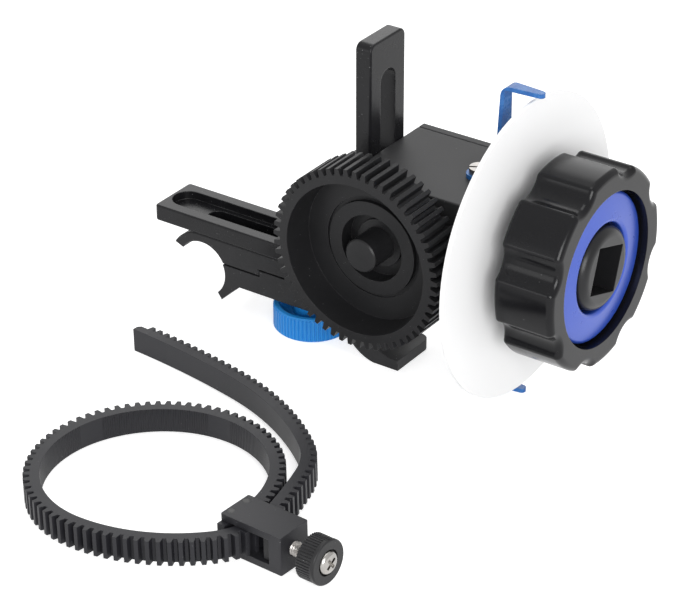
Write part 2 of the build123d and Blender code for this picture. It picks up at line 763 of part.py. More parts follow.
# Focus gear
dish_floor_y = gear_front_y + dish_depth
boss_y = gear_front_y + gear_boss_depth
with BuildPart() as focus_gear:
    with BuildSketch(drive_plane(gear_back_y)):
        Polygon(*ribbed(gear_tip_r, gear_tip_r - gear_depth, gear_teeth, tooth_tip_share,
                        tooth_root_share, 90), align=None)
    extrude(amount=gear_w)
    with BuildSketch(drive_half):
        Polygon((gear_front_y, 0), (gear_front_y, dish_front_r), (dish_floor_y, dish_floor_r),
                (dish_floor_y, gear_boss_r), (boss_y, gear_boss_r), (boss_y, gear_bore_r),
                (gear_back_y, gear_bore_r), (gear_back_y, 0), align=None)
    revolve(axis=drive_axis, mode=Mode.SUBTRACT)
    with BuildSketch(drive_plane(gear_back_y)):
        Circle(gear_cup_r)
        Circle(gear_bore_r, mode=Mode.SUBTRACT)
    extrude(amount=gear_back_y - gear_cup_y)
    with BuildSketch(drive_plane(gear_cup_y)):
        Circle(gear_cup_r)
    extrude(amount=gear_cup_y - gear_cup_floor_y)
    with BuildSketch(drive_plane(gear_cup_floor_y)):
        Circle(gear_cup_r)
        Circle(gear_bore_r, mode=Mode.SUBTRACT)
    extrude(amount=gear_cup_floor_y - gear_back_y)
    with BuildSketch(drive_plane(gear_cup_y)):
        Circle(shaft_r)
    extrude(amount=gear_w, mode=Mode.SUBTRACT)
    with BuildSketch(drive_plane(dish_floor_y + gear_boss_groove_depth)):
        Circle(gear_boss_r + gear_boss_groove)
        Circle(gear_boss_r, mode=Mode.SUBTRACT)
    extrude(amount=gear_boss_groove_depth, mode=Mode.SUBTRACT)
focus_gear.part.label = "focus_gear"
export_step(focus_gear.part, "parts/focus_gear.step")

with BuildPart() as gear_retaining_ring:
    with BuildSketch(drive_plane(gear_cup_floor_y)):
        Circle(ring_r)
        Circle(ring_groove_r, mode=Mode.SUBTRACT)
    extrude(amount=ring_w)
gear_retaining_ring.part.label = "gear_retaining_ring"
export_step(gear_retaining_ring.part, "parts/gear_retaining_ring.step")

# Handwheel shaft and its bevel gear
wheel_step_x = drive_x + wheel_bevel_back
with BuildPart() as handwheel_shaft:
    with BuildSketch(wheel_half):
        Polygon((shaft_tip_x, 0), (shaft_tip_x, shaft_thin_r), (wheel_step_x, shaft_thin_r),
                (wheel_step_x, shaft_r), (core_pocket_x, shaft_r), (core_pocket_x, wheel_screw_r),
                (wheel_screw_end_x, wheel_screw_r), (wheel_screw_end_x, 0), align=None)
    revolve(axis=wheel_axis)
handwheel_shaft.part.label = "handwheel_shaft"
export_step(handwheel_shaft.part, "parts/handwheel_shaft.step")

with BuildPart() as handwheel_bevel:
    with BuildSketch(wheel_plane(drive_x + bevel_pitch_r)):
        Polygon(*ribbed(bevel_tip_r, bevel_root_r, bevel_teeth, *bevel_shares, half_tooth_deg),
                align=None)
    with BuildSketch(wheel_plane(drive_x + bevel_inner)):
        Polygon(*ribbed(bevel_tip_r * bevel_scale, bevel_root_r * bevel_scale, bevel_teeth,
                        *bevel_shares, half_tooth_deg), align=None)
    loft(ruled=True)
    with BuildSketch(wheel_plane(drive_x + bevel_pitch_r)):
        Circle(bevel_hub_r)
    extrude(amount=wheel_bevel_back - bevel_pitch_r)
    with BuildSketch(wheel_plane(drive_x)):
        Circle(shaft_thin_r)
    extrude(amount=wheel_bevel_back, mode=Mode.SUBTRACT)
handwheel_bevel.part.label = "handwheel_bevel"
export_step(handwheel_bevel.part, "parts/handwheel_bevel.step")

# Disc hub and marking disc
disc_front_x = disc_x + disc_t
with BuildPart() as disc_hub:
    with BuildSketch(wheel_half):
        Polygon((hub_start_x, shaft_r), (hub_start_x, hub_r), (hub_flange_x, hub_r),
                (hub_flange_x, hub_flange_r), (disc_x, hub_flange_r), (disc_x, disc_bore_r),
                (disc_front_x, disc_bore_r), (disc_front_x, shaft_r), align=None)
    revolve(axis=wheel_axis)
disc_hub.part.label = "disc_hub"
export_step(disc_hub.part, "parts/disc_hub.step")

with BuildPart() as marking_disc:
    with BuildSketch(wheel_plane(disc_x)):
        Circle(disc_r)
        Circle(disc_bore_r, mode=Mode.SUBTRACT)
    extrude(amount=disc_t)
    chamfer(edges().filter_by(GeomType.CIRCLE).sort_by(SortBy.RADIUS)[-2:], disc_edge)
marking_disc.part.label = "marking_disc"
export_step(marking_disc.part, "parts/marking_disc.step")

# Handwheel
with BuildPart() as handwheel_core:
    with BuildSketch(wheel_half):
        Polygon((disc_front_x, shaft_r), (disc_front_x, core_boss_r), (wheel_back_x, core_boss_r),
                (wheel_back_x, rim_r), (core_front_x, rim_r), (core_front_x, socket_r),
                (core_pocket_x, socket_r), (core_pocket_x, shaft_r), align=None)
    revolve(axis=wheel_axis)
handwheel_core.part.label = "handwheel_core"
export_step(handwheel_core.part, "parts/handwheel_core.step")

with BuildPart() as handwheel_grip:
    with BuildSketch(wheel_plane(wheel_back_x)):
        Circle(wheel_r)
        with PolarLocations(flute_centre_r, flute_count, start_angle=flute_deg):
            Circle(flute_r, mode=Mode.SUBTRACT)
    extrude(amount=wheel_front_x - wheel_back_x)
    fillet(edges().filter_by(Axis.X), lobe_round)
    fillet(faces().sort_by(Axis.X)[-1].edges(), wheel_round)
    fillet(faces().sort_by(Axis.X)[0].edges(), wheel_back_round)
    with BuildSketch(wheel_plane(wheel_back_x)):
        Circle(rim_r)
    extrude(amount=wheel_front_x - wheel_back_x, mode=Mode.SUBTRACT)
handwheel_grip.part.label = "handwheel_grip"
export_step(handwheel_grip.part, "parts/handwheel_grip.step")

with BuildPart() as accent_ring:
    with BuildSketch(wheel_half):
        Polygon((core_front_x, accent_in_r), (core_front_x, accent_r), (accent_low_x, accent_r),
                (accent_high_x, accent_in_r), align=None)
    revolve(axis=wheel_axis)
    fillet(edges().filter_by(GeomType.CIRCLE).group_by(Axis.X)[-1], accent_round)
    fillet(edges().filter_by(GeomType.CIRCLE).sort_by(SortBy.RADIUS)[-2:].sort_by(Axis.X)[-1],
           accent_round)
accent_ring.part.label = "accent_ring"
export_step(accent_ring.part, "parts/accent_ring.step")

with BuildPart() as crank_socket:
    with BuildSketch(wheel_plane(core_pocket_x)):
        Circle(socket_r)
    extrude(amount=socket_front_x - core_pocket_x)
    fillet(edges().group_by(Axis.X)[-1], socket_round)
    with BuildSketch(wheel_plane(socket_floor_x)):
        Rectangle(socket_side, socket_side, rotation=socket_turn_deg)
    extrude(amount=socket_front_x - socket_floor_x, mode=Mode.SUBTRACT)
    with BuildSketch(wheel_plane(core_pocket_x)):
        Circle(wheel_screw_r + hole_gap)
    extrude(amount=socket_floor_x - core_pocket_x, mode=Mode.SUBTRACT)
crank_socket.part.label = "crank_socket"
export_step(crank_socket.part, "parts/crank_socket.step")

with BuildPart() as handwheel_screw:
    with BuildSketch(wheel_plane(socket_floor_x)):
        Circle(wheel_screw_head_r)
    extrude(amount=wheel_screw_head_h)
    chamfer(edges().group_by(Axis.X)[-1], shaft_edge)
    with BuildSketch(wheel_plane(wheel_screw_end_x)):
        Circle(wheel_screw_r)
    extrude(amount=socket_floor_x - wheel_screw_end_x)
    with BuildSketch(wheel_plane(socket_floor_x + wheel_screw_head_h - wheel_screw_hex_depth)):
        RegularPolygon(wheel_screw_hex_r, 6)
    extrude(amount=wheel_screw_hex_depth, mode=Mode.SUBTRACT)
handwheel_screw.part.label = "handwheel_screw"
export_step(handwheel_screw.part, "parts/handwheel_screw.step")


# Strap: the middle line of its band, as straights and left turns
def along(point, deg, length):
    """Point reached by going straight."""
    return (point[0] + length * math.cos(math.radians(deg)),
            point[1] + length * math.sin(math.radians(deg)))


def block_point(u, v):
    """Point of the block's own plan, seen from above."""
    return (block_x + u * turn_cos - v * turn_sin, block_y + u * turn_sin + v * turn_cos)


tongue_u = tongue_inset - block_l / 2
band_start = block_point(tongue_u, block_w / 2 + tongue_back / 2)
ring_mid = along(along(band_start, strap_out_deg, strap_out_l), strap_out_deg + 90, strap_ring_r)
near_r = strap_ring_r - strap_near_less
near_mid = along(ring_mid, strap_near_deg, strap_near_less)
window_spot = block_point(window_inset - block_l / 2, block_w / 2 + window_out)
window_mid = along(window_spot, window_deg + 90, window_r)
mid_gap = (window_mid[0] - near_mid[0], window_mid[1] - near_mid[1])
mid_far = math.hypot(*mid_gap)
mid_deg = math.degrees(math.atan2(mid_gap[1], mid_gap[0]))
near_less = strap_flat_r - near_r
window_less = strap_flat_r - window_r
mid_along = (near_less * near_less - window_less * window_less + mid_far * mid_far) / (2 * mid_far)
mid_up = math.sqrt(near_less * near_less - mid_along * mid_along)
flat_mid = along(along(near_mid, mid_deg, mid_along), mid_deg + 90, mid_up)
flat_in_deg = math.degrees(math.atan2(near_mid[1] - flat_mid[1], near_mid[0] - flat_mid[0])) + 90
flat_out_deg = math.degrees(math.atan2(window_mid[1] - flat_mid[1], window_mid[0] - flat_mid[0])) + 90
legs = [(0, strap_out_l), (strap_ring_r, strap_near_deg + 90 - strap_out_deg),
        (near_r, 270 + flat_in_deg - strap_near_deg), (strap_flat_r, flat_out_deg - flat_in_deg),
        (window_r, window_deg - flat_out_deg)] + list(zip(tail_radii, tail_degs))



def trace(shift):
    """Corner and middle points of each leg, moved sideways from the band's middle line."""
    spot = band_start
    deg = strap_out_deg
    found = []
    for radius, amount in legs:
        if radius == 0:
            end = along(spot, deg, amount)
            stops = [spot, along(spot, deg, amount / 2), end]
            turn = [deg, deg, deg]
        else:
            centre = along(spot, deg + 90, radius)
            turn = [deg, deg + amount / 2, deg + amount]
            stops = [along(centre, way - 90, radius) for way in turn]
            deg = deg + amount
            end = stops[2]
        found.append([along(stop, way - 90, shift) for stop, way in zip(stops, turn)])
        spot = end
    return found, deg


def tooth_stations(pitch, first_gap, last_gap, line_shift):
    """Middle and heading of each tooth, evenly spaced along the pitch line."""
    spot = band_start
    deg = strap_out_deg
    wait = first_gap
    total = 0
    for radius, amount in legs:
        reach = radius + line_shift
        total = total + (amount if radius == 0 else reach * math.radians(amount))
    passed = 0
    found = []
    for radius, amount in legs:
        length = amount if radius == 0 else (radius + line_shift) * math.radians(amount)
        while wait <= length:
            if passed + wait > total - last_gap:
                return found
            if radius == 0:
                found.append((along(spot, deg, wait), deg))
            else:
                centre = along(spot, deg + 90, radius)
                way = deg + math.degrees(wait / (radius + line_shift))
                found.append((along(centre, way - 90, radius), way))
            wait = wait + pitch
        wait = wait - length
        passed = passed + length
        if radius == 0:
            spot = along(spot, deg, amount)
        else:
            centre = along(spot, deg + 90, radius)
            deg = deg + amount
            spot = along(centre, deg - 90, radius)
    return found


inner_side, tail_deg = trace(-band_t / 2)
tooth_pitch = math.pi * gear_module
tooth_line = band_t / 2 + strap_tooth_h - gear_module
stations = tooth_stations(tooth_pitch, tooth_pitch, tail_plain, tooth_line)
root_half = tooth_root_share * tooth_pitch
tip_half = tooth_tip_share * tooth_pitch
outer_points = []
outer_side, tail_deg = trace(band_t / 2)
outer_points.append(outer_side[0][0])
for spot, way in stations:
    base = along(spot, way - 90, band_t / 2)
    tip = along(spot, way - 90, band_t / 2 + strap_tooth_h)
    outer_points.append(along(base, way, -root_half))
    outer_points.append(along(tip, way, -tip_half))
    outer_points.append(along(tip, way, tip_half))
    outer_points.append(along(base, way, root_half))
outer_points.append(along(outer_side[-1][2], tail_deg, -tail_round))
strap_low = (block_h - strap_h) / 2
with BuildPart() as gear_strap:
    with BuildSketch(ring_plane.offset(strap_low)):
        with BuildLine():
            for leg, stops in zip(legs, inner_side):
                if leg[0] == 0:
                    Line(stops[0], stops[2])
                else:
                    ThreePointArc(*stops)
            Polyline(inner_side[-1][2], along(outer_side[-1][2], tail_deg - 90, -tail_round),
                     *reversed(outer_points), inner_side[0][0])
        make_face()
    extrude(amount=strap_h)
    with BuildSketch(block_plane.offset(strap_low)):
        with Locations((tongue_u, (tongue_back - tab_out) / 2)):
            Rectangle(tongue_t, block_w + tab_out + tongue_back)
    extrude(amount=strap_h)
    with BuildSketch(block_plane):
        with Locations((tongue_u, -pin_spread), (tongue_u, pin_spread)):
            Circle(pin_r)
    extrude(amount=block_h, mode=Mode.SUBTRACT)
gear_strap.part.label = "gear_strap"
export_step(gear_strap.part, "parts/gear_strap.step")

# Clamp block
wall_u = block_l / 2 - block_wall
screw_h = block_h / 2
with BuildPart() as strap_block:
    with BuildSketch(block_plane):
        Rectangle(block_l, block_w)
    extrude(amount=block_h)
    fillet(edges().filter_by(block_up), block_edge)
    with BuildSketch(block_plane.offset(block_plate)):
        with Locations((-block_wall, 0)):
            Rectangle(block_l, block_w)
    extrude(amount=block_h - 2 * block_plate, mode=Mode.SUBTRACT)
    with BuildSketch(block_plane):
        with Locations((tongue_u, -pin_spread), (tongue_u, pin_spread)):
            Circle(pin_r)
    extrude(amount=block_h, mode=Mode.SUBTRACT)
    with BuildSketch(Plane(origin=block_plane.from_local_coords((wall_u, 0, screw_h)),
                           z_dir=block_dir)):
        Circle(strap_screw_r + run_gap)
    extrude(amount=block_wall, mode=Mode.SUBTRACT)
strap_block.part.label = "strap_block"
export_step(strap_block.part, "parts/strap_block.step")

with BuildPart() as strap_pins:
    with BuildSketch(block_plane):
        with Locations((tongue_u, -pin_spread), (tongue_u, pin_spread)):
            Circle(pin_r)
    extrude(amount=block_h)
strap_pins.part.label = "strap_pins"
export_step(strap_pins.part, "parts/strap_pins.step")

# Pressure plate, clamp screw and its knob
plate_back = plate_near + plate_thick
with BuildPart() as strap_plate:
    with BuildSketch(block_plane.offset((block_h - plate_h) / 2)):
        with Locations((plate_near + plate_thick / 2, 0)):
            Rectangle(plate_thick, 2 * plate_half_w)
    extrude(amount=plate_h)
    with BuildSketch(Plane(origin=block_plane.from_local_coords((plate_back - plate_seat, 0, screw_h)),
                           z_dir=block_dir)):
        Circle(strap_screw_r + run_gap)
    extrude(amount=plate_seat, mode=Mode.SUBTRACT)
strap_plate.part.label = "strap_plate"
export_step(strap_plate.part, "parts/strap_plate.step")

screw_start = block_plane.from_local_coords((plate_back - plate_seat, 0, screw_h))
screw_l = strap_knob_start + strap_knob_bore - plate_back + plate_seat
thread_turns = int((strap_knob_start - wall_u) / thread_pitch)
with BuildPart() as strap_screw:
    with BuildSketch(Plane(origin=screw_start, z_dir=block_dir)):
        Circle(strap_screw_r)
    extrude(amount=screw_l)
    with BuildSketch(Plane(origin=block_plane.from_local_coords((wall_u, 0, screw_h)),
                           x_dir=block_dir, z_dir=block_side)):
        for turn in range(thread_turns):
            with Locations((turn * thread_pitch, strap_screw_r)):
                Polygon((0, 0), (thread_pitch / 2, -thread_depth), (thread_pitch, 0), align=None)
    revolve(axis=Axis(screw_start, block_dir), mode=Mode.SUBTRACT)
strap_screw.part.label = "strap_screw"
export_step(strap_screw.part, "parts/strap_screw.step")

knob_plane = Plane(origin=block_plane.from_local_coords((strap_knob_start, 0, screw_h)),
                   z_dir=block_dir)
with BuildPart() as strap_knob:
    with BuildSketch(knob_plane):
        Polygon(*ribbed(strap_knob_r - strap_rib_drop, strap_knob_r - strap_knob_rib, strap_rib_count,
                        0.2, 0.36, 0), align=None)
    extrude(amount=strap_knob_l - strap_knob_rim)
    # Smooth rim at the outer end, its edge rounded
    with BuildSketch(knob_plane.offset(strap_knob_l - strap_knob_rim)):
        Circle(strap_knob_r)
    extrude(amount=strap_knob_rim)
    fillet(edges().sort_by(Axis(knob_plane.origin, knob_plane.z_dir))[-1], strap_rim_round)
    with BuildSketch(knob_plane):
        Circle(strap_screw_r)
    extrude(amount=strap_knob_bore, mode=Mode.SUBTRACT)
    with BuildSketch(knob_plane.offset(strap_knob_l - cap_sink)):
        Circle(cap_r + cap_ring)
    extrude(amount=cap_sink, mode=Mode.SUBTRACT)
    with BuildSketch(knob_plane.offset(strap_knob_l - cap_sink - cap_pin_l)):
        Circle(cap_pin_r)
    extrude(amount=cap_pin_l, mode=Mode.SUBTRACT)
strap_knob.part.label = "strap_knob"
export_step(strap_knob.part, "parts/strap_knob.step")

cap_base = knob_plane.offset(strap_knob_l - cap_sink)
with BuildPart() as strap_cap:
    with BuildSketch(cap_base):
        Circle(cap_r)
    extrude(amount=cap_h)
    fillet(edges().sort_by(Axis(cap_base.origin, cap_base.z_dir))[-1], cap_h * 0.8)
    with BuildSketch(cap_base.offset(-cap_pin_l)):
        Circle(cap_pin_r)
    extrude(amount=cap_pin_l)
    with BuildSketch(cap_base.offset(cap_h - cap_cross_depth)):
        Rectangle(cap_cross_l, cap_cross_w, rotation=35)
        Rectangle(cap_cross_w, cap_cross_l, rotation=35)
    extrude(amount=cap_cross_depth, mode=Mode.SUBTRACT)
strap_cap.part.label = "strap_cap"
export_step(strap_cap.part, "parts/strap_cap.step")
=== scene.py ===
"""Looks of a lens follow focus: finishes, studio light and the photograph's camera."""

import logging
import math
from dataclasses import dataclass, field
from enum import Enum

import bpy
from mathutils import Matrix, Vector


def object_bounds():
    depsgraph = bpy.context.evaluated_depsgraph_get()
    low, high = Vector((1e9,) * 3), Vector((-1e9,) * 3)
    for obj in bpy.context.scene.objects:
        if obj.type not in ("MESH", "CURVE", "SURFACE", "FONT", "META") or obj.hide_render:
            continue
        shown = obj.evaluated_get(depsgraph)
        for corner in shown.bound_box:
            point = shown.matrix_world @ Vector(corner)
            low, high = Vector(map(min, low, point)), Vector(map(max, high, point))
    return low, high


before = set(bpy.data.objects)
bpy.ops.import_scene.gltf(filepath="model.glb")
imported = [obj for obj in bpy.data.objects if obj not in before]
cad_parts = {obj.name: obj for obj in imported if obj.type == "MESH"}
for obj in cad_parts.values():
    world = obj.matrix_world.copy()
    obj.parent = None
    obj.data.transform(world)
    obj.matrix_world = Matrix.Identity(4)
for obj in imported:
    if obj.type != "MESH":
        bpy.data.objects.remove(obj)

CAD_BOX = [list(corner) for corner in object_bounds()]
LOG = logging.getLogger("follow_focus")
MM = 0.001

Colour = tuple[float, float, float, float]
Point = tuple[float, float, float]
Value = bpy.types.NodeSocket | Colour | Point | float


class Axis(Enum):
    """Axis that the turning marks of a lathe run round."""

    ALONG_X = (0.0, 1.0, 1.0)
    ALONG_Y = (1.0, 0.0, 1.0)
    ALONG_Z = (1.0, 1.0, 0.0)


class Texture(Enum):
    """Fine relief of a finish. Those without a shape of their own are even grain."""

    BLASTED = "blasted"
    MOULDED = "moulded"
    SMOOTH = "smooth"
    TURNED = "turned"
    RIBBED = "ribbed"


@dataclass(frozen=True)
class Finish:
    """One finish: its colour, gloss and fine relief, and a lighter tint along its edges, partly
    wear and partly painted highlight.
    """

    name: str
    colour: Colour
    worn_colour: Colour
    roughness: float
    rough_spread: float = 0.06
    metallic: float = 0.0
    specular: float = 0.5
    wear: float = 0.25
    wear_scale: float = 90.0
    texture: Texture = Texture.BLASTED
    grain_scale: float = 1500.0
    relief: float = 0.02 * MM
    specks: float = 0.0
    edge_radius: float = 0.22 * MM
    # Lightening of edges toward the edge tint: partly wear, partly painted highlight.
    edge_sheen_and_wear_amount: float = 0.0
    sheen_and_worn_edge_tint: Colour = (0.110, 0.110, 0.114, 1.0)
    axis: Axis = Axis.ALONG_X
    centre: Point = (0.0, 0.0, 0.0)


def grey(value: float, blue_lift: float = 0.0) -> Colour:
    """Return a neutral colour, made a little bluer by blue_lift."""
    return (value, value, value + blue_lift, 1.0)


WHEEL_CENTRE: Point = (0.1, 0.0, 0.0322)
DRIVE_CENTRE: Point = (0.0637, 0.0, 0.0322)
CLAMP_CENTRE: Point = (0.03, 0.0, 0.0)
STRAP_CENTRE: Point = (0.0451, -0.0867, 0.0)

# Lightened edges in these finishes are partly wear, partly painted highlight.
BLASTED_BLACK = Finish("blasted_black", grey(0.013, 0.001), grey(0.028, 0.002), 0.44, specular=0.20,
                       wear=0.5, grain_scale=1100.0, relief=0.030 * MM, specks=0.05,
                       edge_sheen_and_wear_amount=0.6)
PLATE_BLACK = Finish("plate_black", grey(0.007, 0.001), grey(0.018, 0.002), 0.25, specular=0.20,
                     wear=0.5, grain_scale=1300.0, relief=0.020 * MM, specks=0.06,
                     edge_radius=0.35 * MM, edge_sheen_and_wear_amount=0.7)
BOX_BLACK = Finish("box_black", grey(0.026, 0.001), grey(0.040, 0.001), 0.50, specular=0.25,
                   wear=0.5, wear_scale=60.0, grain_scale=2200.0, relief=0.010 * MM, specks=0.02,
                   edge_sheen_and_wear_amount=0.4)
GEAR_BLACK = Finish("gear_black", grey(0.012, 0.001), grey(0.022, 0.001), 0.40, specular=0.20,
                    wear=0.3, texture=Texture.MOULDED, grain_scale=500.0, relief=0.010 * MM,
                    specks=0.05, edge_radius=0.15 * MM, edge_sheen_and_wear_amount=0.5)
GRIP_BLACK = Finish("grip_black", grey(0.005, 0.001), grey(0.010, 0.001), 0.17, specular=0.20,
                    rough_spread=0.06, wear=0.2, texture=Texture.MOULDED, grain_scale=260.0,
                    relief=0.008 * MM, specks=0.01)
SOCKET_BLACK = Finish("socket_black", grey(0.010, 0.001), grey(0.020, 0.001), 0.30, specular=0.27,
                      wear=0.3, texture=Texture.TURNED, grain_scale=2600.0, relief=0.004 * MM,
                      axis=Axis.ALONG_X, centre=WHEEL_CENTRE, edge_sheen_and_wear_amount=0.5)
KNOB_BLACK = Finish("knob_black", grey(0.014, 0.001), grey(0.032, 0.002), 0.36, specular=0.25,
                    wear=0.4, grain_scale=1600.0, relief=0.014 * MM, specks=0.05,
                    edge_radius=0.15 * MM, edge_sheen_and_wear_amount=0.8)
SHAFT_BLACK = Finish("shaft_black", grey(0.013, 0.001), grey(0.030, 0.001), 0.34, specular=0.2,
                     wear=0.4, texture=Texture.TURNED, grain_scale=5200.0, relief=0.006 * MM,
                     axis=Axis.ALONG_Y, centre=DRIVE_CENTRE, edge_sheen_and_wear_amount=0.6)
KNOB_BLUE = Finish("knob_blue", (0.010, 0.230, 0.640, 1.0), (0.030, 0.280, 0.680, 1.0), 0.40,
                   wear=0.4, texture=Texture.TURNED, grain_scale=3600.0, relief=0.004 * MM,
                   axis=Axis.ALONG_Z, centre=CLAMP_CENTRE, edge_radius=0.12 * MM)
ACCENT_BLUE = Finish("accent_blue", (0.022, 0.070, 0.440, 1.0), (0.045, 0.110, 0.560, 1.0), 0.27,
                     wear=0.3, texture=Texture.TURNED, grain_scale=2800.0, relief=0.003 * MM,
                     axis=Axis.ALONG_X, centre=WHEEL_CENTRE, metallic=0.2)
# Pointer edges lightened to a paler blue: painted highlight as well as wear.
POINTER_BLUE = Finish("pointer_blue", (0.012, 0.095, 0.340, 1.0), (0.045, 0.190, 0.480, 1.0), 0.24,
                      specular=0.3, wear=0.8, wear_scale=420.0, grain_scale=1800.0,
                      relief=0.008 * MM, specks=0.05, edge_radius=0.15 * MM,
                      edge_sheen_and_wear_amount=0.7, sheen_and_worn_edge_tint=(0.060, 0.240, 0.560, 1.0))
DISC_WHITE = Finish("disc_white", grey(0.920, 0.002), grey(0.905, 0.004), 0.55,
                    rough_spread=0.03, wear=0.15, wear_scale=30.0, texture=Texture.SMOOTH,
                    grain_scale=900.0, relief=0.002 * MM)
STRAP_GREY = Finish("strap_grey", grey(0.014, 0.003), grey(0.028, 0.004), 0.43, specular=0.25,
                    wear=0.3, texture=Texture.RIBBED, grain_scale=700.0, relief=0.09 * MM,
                    specks=0.02, centre=STRAP_CENTRE, edge_radius=0.12 * MM,
                    edge_sheen_and_wear_amount=0.3)
BLOCK_BLACK = Finish("block_black", grey(0.018, 0.003), grey(0.034, 0.003), 0.42, specular=0.25,
                     wear=0.4, wear_scale=220.0, grain_scale=2000.0, relief=0.010 * MM,
                     specks=0.05, edge_sheen_and_wear_amount=0.7)
PLATE_DARK = Finish("plate_dark", grey(0.016, 0.001), grey(0.030, 0.001), 0.45, specular=0.25,
                    wear=0.4, grain_scale=2000.0, relief=0.008 * MM)
PLAIN_STEEL = Finish("plain_steel", grey(0.600), grey(0.500), 0.32, metallic=1.0,
                     wear=0.4, texture=Texture.TURNED, grain_scale=6000.0, relief=0.003 * MM,
                     axis=Axis.ALONG_X, centre=WHEEL_CENTRE)
PIN_STEEL = Finish("pin_steel", grey(0.060), grey(0.035), 0.35, metallic=1.0,
                   wear=0.6, wear_scale=900.0, texture=Texture.SMOOTH, relief=0.002 * MM)
SCREW_STEEL = Finish("screw_steel", (0.380, 0.360, 0.340, 1.0), grey(0.260), 0.30, metallic=1.0,
                     wear=0.6, wear_scale=500.0, texture=Texture.SMOOTH, relief=0.002 * MM,
                     edge_radius=0.08 * MM)
CHROME = Finish("bright_chrome", (0.390, 0.375, 0.355, 1.0), grey(0.240), 0.19, metallic=1.0,
                rough_spread=0.08, wear=0.6, wear_scale=300.0, texture=Texture.SMOOTH,
                relief=0.001 * MM, edge_radius=0.10 * MM)
BRONZE = Finish("bearing_bronze", (0.500, 0.330, 0.160, 1.0), (0.380, 0.240, 0.110, 1.0), 0.38,
                metallic=1.0, texture=Texture.SMOOTH, relief=0.004 * MM)
BRASS = Finish("gear_brass", (0.680, 0.520, 0.240, 1.0), (0.560, 0.400, 0.170, 1.0), 0.30,
               metallic=1.0, texture=Texture.SMOOTH, relief=0.004 * MM)

# Wear patches: the noise they come from, and the part of it that shows
PATCH_DETAIL = 5.0
PATCH_ROUGHNESS = 0.62
PATCH_LOW = 0.35
PATCH_HIGH = 0.75

# Specks of dust and bare metal
SPECK_COLOUR: Colour = (0.170, 0.170, 0.175, 1.0)
SPECK_SCALE = 2300.0
SPECK_REACH = 0.28

# Edges: how far a normal bends from flat to sharp, and the noise that breaks the lighter line along
# them, partly wear and partly painted highlight
EDGE_SAMPLES = 6
EDGE_FLAT = 0.99
EDGE_SHARP = 0.80
EDGE_NOISE_SCALE = 420.0
EDGE_NOISE_DETAIL = 4.0
EDGE_NOISE_LOW = 0.40
EDGE_NOISE_HIGH = 0.68

# Grain and turning marks
GRAIN_DETAIL = 2.0
TURNING_DETAIL = 2.0

# Ribs inside the strap, left out on a few smooth lands
RIB_COUNT = 280.0
RIB_REACH = 0.0305
RIB_FACING = -0.6
LAND_COUNT = 5.0
LAND_LEVEL = 0.82


class Wiring:
    """A node tree, with short ways to add nodes and to feed their sockets."""

    def __init__(self, tree: bpy.types.NodeTree) -> None:
        """Keep the tree that nodes are added to."""
        self.tree = tree

    def feed(self, target: bpy.types.NodeSocket, value: Value) -> None:
        """Link a socket into the target, or set the target's own value.

        Args:
            target: Input socket to feed.
            value: Output socket to link, or a plain value.
        """
        if isinstance(value, bpy.types.NodeSocket):
            self.tree.links.new(value, target)
        else:
            target.default_value = value

    def fill(self, node: bpy.types.Node, sockets: dict[str, Value]) -> bpy.types.Node:
        """Feed a node's inputs by their names.

        Args:
            node: Node to feed.
            sockets: Value or socket for each named input.

        Returns:
            The same node.
        """
        for label, value in sockets.items():
            self.feed(node.inputs[label], value)
        return node

    def math(self, operation: str, *operands: Value, clamp: bool = False) -> bpy.types.NodeSocket:
        """Add a Math node.

        Args:
            operation: Blender's name of the operation.
            operands: Values or sockets it works on.
            clamp: Whether the result is held between 0 and 1.

        Returns:
            The socket with the result.
        """
        node = self.tree.nodes.new("ShaderNodeMath")
        node.operation = operation
        node.use_clamp = clamp
        for socket, value in zip(node.inputs, operands):
            self.feed(socket, value)
        return node.outputs["Value"]

    def vector(self, operation: str, *operands: Value) -> bpy.types.Node:
        """Add a Vector Math node.

        Args:
            operation: Blender's name of the operation.
            operands: Values or sockets it works on.

        Returns:
            The node, whose result is Value for a length or a product and Vector otherwise.
        """
        node = self.tree.nodes.new("ShaderNodeVectorMath")
        node.operation = operation
        for socket, value in zip(node.inputs, operands):
            self.feed(socket, value)
        return node

    def ramp(self, value: bpy.types.NodeSocket, low: float, high: float) -> bpy.types.NodeSocket:
        """Stretch a value over 0 to 1.

        Args:
            value: Socket to stretch.
            low: Value that gives 0.
            high: Value that gives 1.

        Returns:
            The socket with the result.
        """
        node = self.tree.nodes.new("ShaderNodeMapRange")
        self.fill(node, {"Value": value, "From Min": low, "From Max": high})
        return node.outputs["Result"]

    def blend(self, factor: Value, below: Value, above: Value) -> bpy.types.NodeSocket:
        """Lay one colour over another.

        Args:
            factor: Share of the upper colour.
            below: Lower colour.
            above: Upper colour.

        Returns:
            The socket with the mixed colour.
        """
        node = self.tree.nodes.new("ShaderNodeMix")
        node.data_type = "RGBA"
        self.fill(node, {"Factor": factor, "A": below, "B": above})
        return node.outputs["Result"]

    def effect(self, group: "EffectGroup", sockets: dict[str, Value]) -> bpy.types.Node:
        """Place a shared effect with its own values.

        Args:
            group: Effect to place.
            sockets: Value or socket for each of its inputs.

        Returns:
            The group's node.
        """
        node = self.tree.nodes.new("ShaderNodeGroup")
        node.node_tree = group.tree
        return self.fill(node, sockets)


